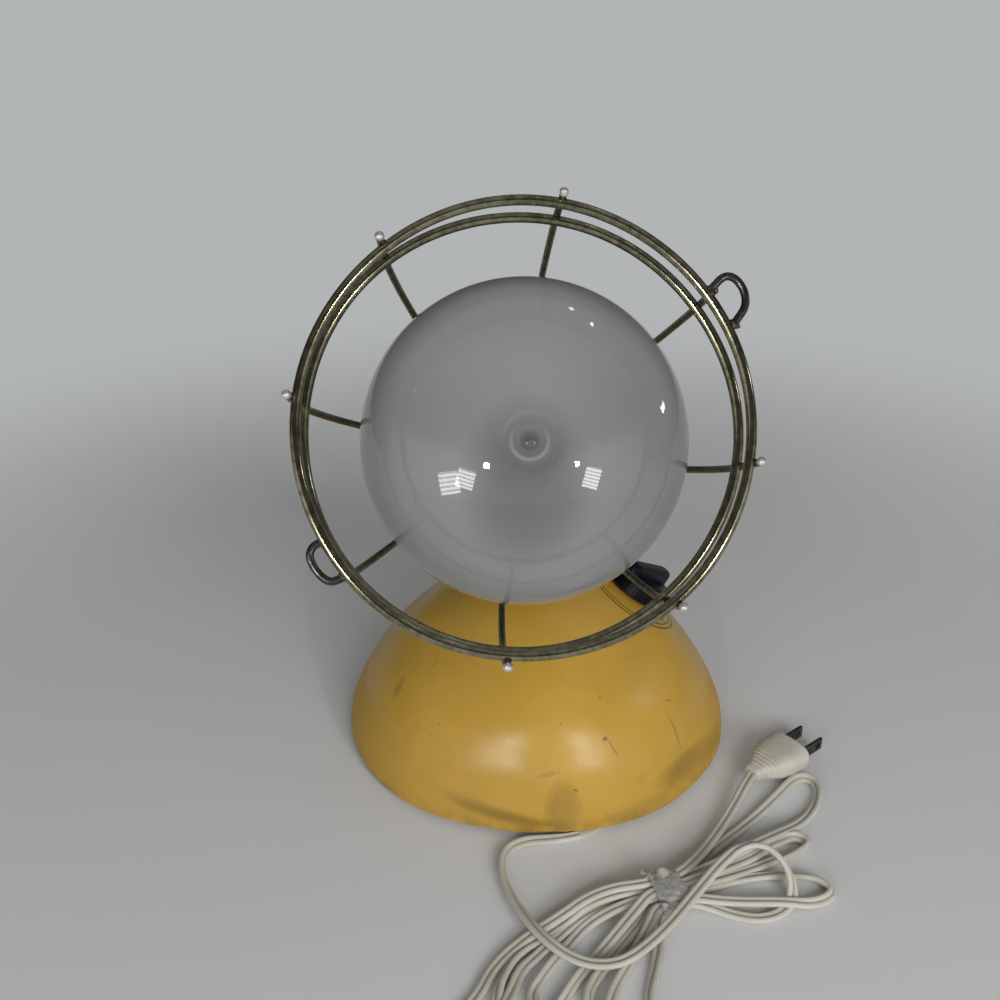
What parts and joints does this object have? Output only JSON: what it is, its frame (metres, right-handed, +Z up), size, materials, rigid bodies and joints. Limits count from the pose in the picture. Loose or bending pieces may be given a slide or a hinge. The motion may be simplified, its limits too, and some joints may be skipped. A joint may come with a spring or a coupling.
{
  "type": "sun lamp",
  "caption": "Table sun lamp: domed steel base with a wind-up timer, and a reflector bulb in a brass wire cage on a neck that turns and tilts, with its flat cord tied in a hank.",
  "frame": {"origin": "On the table under the middle of the domed base.", "axes": "+Z up; the head looks towards -Y, turned 3.5 degrees towards +X and raised by the stored tilt; +X to the right as seen from the front."},
  "size_m": [0.248, 0.332, 0.3097],
  "materials": {
    "yellow_enamel": "glossy enamel, scuffed and speckled",
    "cast_iron": "rough, painted black",
    "felt": "felt",
    "black_moulding": "dull black moulding",
    "steel": "plated, dulled",
    "brass": "brass plate, tarnished",
    "navy_moulding": "satin, near black",
    "frosted_glass": "frosted inside, glossy outside",
    "ivory_cord": "soft vinyl",
    "white_tie": "thin plastic strip",
    "ivory_plug": "moulded vinyl"
  },
  "bodies": {
    "base": {"base_shell": "yellow_enamel", "ballast_plate": "cast_iron", "felt_pad": "felt", "cord_outlet_bushing": "black_moulding", "centre_pipe": "steel", "pipe_nuts": "steel", "inner_saddle": "steel", "outer_saddle": "brass", "neck_washers": "steel", "neck_nut": "brass", "timer_case": "steel", "timer_plate": "steel", "timer_bushing": "brass", "timer_nut": "brass", "timer_jam_nut": "brass", "timer_terminals": "brass", "supply_cord": "ivory_cord", "cord_hank": "ivory_cord", "plug_cord": "ivory_cord", "cord_tie": "white_tie", "plug_body": "ivory_plug", "plug_blades": "steel"},
    "timer": {"timer_spindle": "steel", "timer_knob": "navy_moulding"},
    "neck": {"neck_yoke": "brass"},
    "head": {"tilt_screws": "brass", "spring_washers": "steel", "lampholder_body": "black_moulding", "lampholder_cap": "black_moulding", "cap_screws": "steel", "holder_screw_shell": "brass", "centre_contact": "brass", "cage_collar": "brass", "cage_rib_1": "brass", "cage_rib_2": "brass", "cage_rib_3": "brass", "cage_rib_4": "brass", "cage_rib_5": "brass", "cage_rib_6": "brass", "cage_rib_7": "brass", "cage_rib_8": "brass", "cage_front_ring": "brass", "cage_rear_ring": "brass", "finger_loop_1": "steel", "finger_loop_2": "steel", "bulb_glass": "frosted_glass", "bulb_stem": "frosted_glass", "arc_tube": "frosted_glass", "support_wires": "steel", "bulb_screw_cap": "brass", "bulb_insulator": "frosted_glass", "bulb_contact": "brass"}
  },
  "joints": [
    {"name": "neck_pan", "type": "hinge", "parent": "base", "child": "neck", "pos_m": [-0.0175, 0, 0.0976], "axis": [0, 0, 1], "range_deg": [-170, 170]},
    {"name": "head_tilt", "type": "hinge", "parent": "neck", "child": "head", "pos_m": [-0.0175, 0, 0.1528], "axis": [-0.9981, -0.061, 0], "range_deg": [-28, 62]},
    {"name": "timer_knob_turn", "type": "hinge", "parent": "base", "child": "timer", "pos_m": [0.05087, 0.00989, 0.07315], "axis": [-0.5588, -0.1086, -0.8221], "range_deg": [0, 300]}
  ]
}
